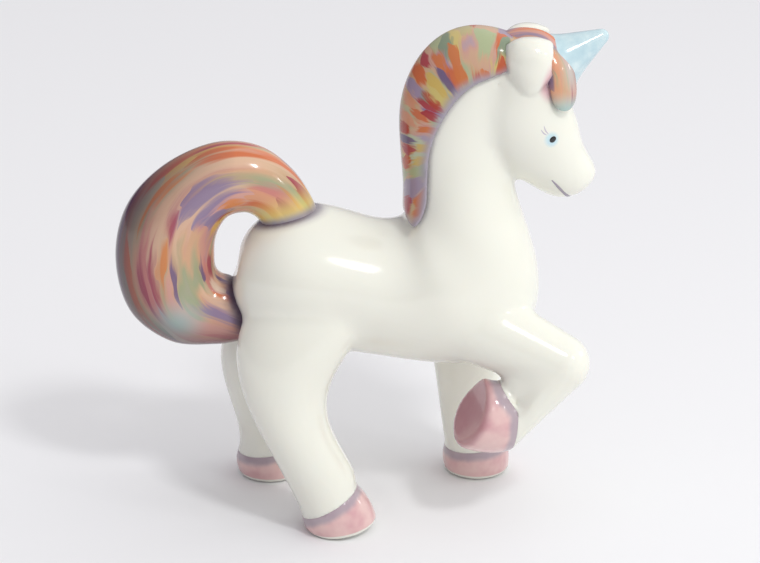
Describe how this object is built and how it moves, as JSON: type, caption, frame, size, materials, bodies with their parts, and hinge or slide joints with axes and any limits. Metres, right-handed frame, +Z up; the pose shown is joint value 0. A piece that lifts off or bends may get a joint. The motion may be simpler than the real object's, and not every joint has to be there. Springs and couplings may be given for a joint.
{
  "type": "unicorn figurine",
  "caption": "Walking unicorn figurine in glazed ceramic with curled tail, mane, forelock, blunt horn and one foreleg raised; stands freely on its hooves as a shelf ornament",
  "frame": {"origin": "middle of the bounding box on the floor plane, under the trunk", "axes": "+X towards the head, +Y to the animal's left, +Z up"},
  "size_m": [0.1062, 0.0464, 0.1098],
  "materials": {
    "white_glaze": "glossy ivory clear glaze",
    "hoof_glaze": "glossy, pink with a lavender coronet",
    "rainbow_glaze": "glossy, brushed in many colours",
    "horn_glaze": "glossy pale blue"
  },
  "bodies": {
    "root": {"body_casting": "white_glaze", "forelock": "rainbow_glaze", "head_casting": "white_glaze", "horn": "horn_glaze", "left_ear": "white_glaze", "left_fore_hoof": "hoof_glaze", "left_foreleg": "white_glaze", "left_hind_hoof": "hoof_glaze", "left_hind_leg": "white_glaze", "mane": "rainbow_glaze", "right_ear": "white_glaze", "right_fore_hoof": "hoof_glaze", "right_foreleg": "white_glaze", "right_hind_hoof": "hoof_glaze", "right_hind_leg": "white_glaze", "tail": "rainbow_glaze"}
  },
  "joints": []
}
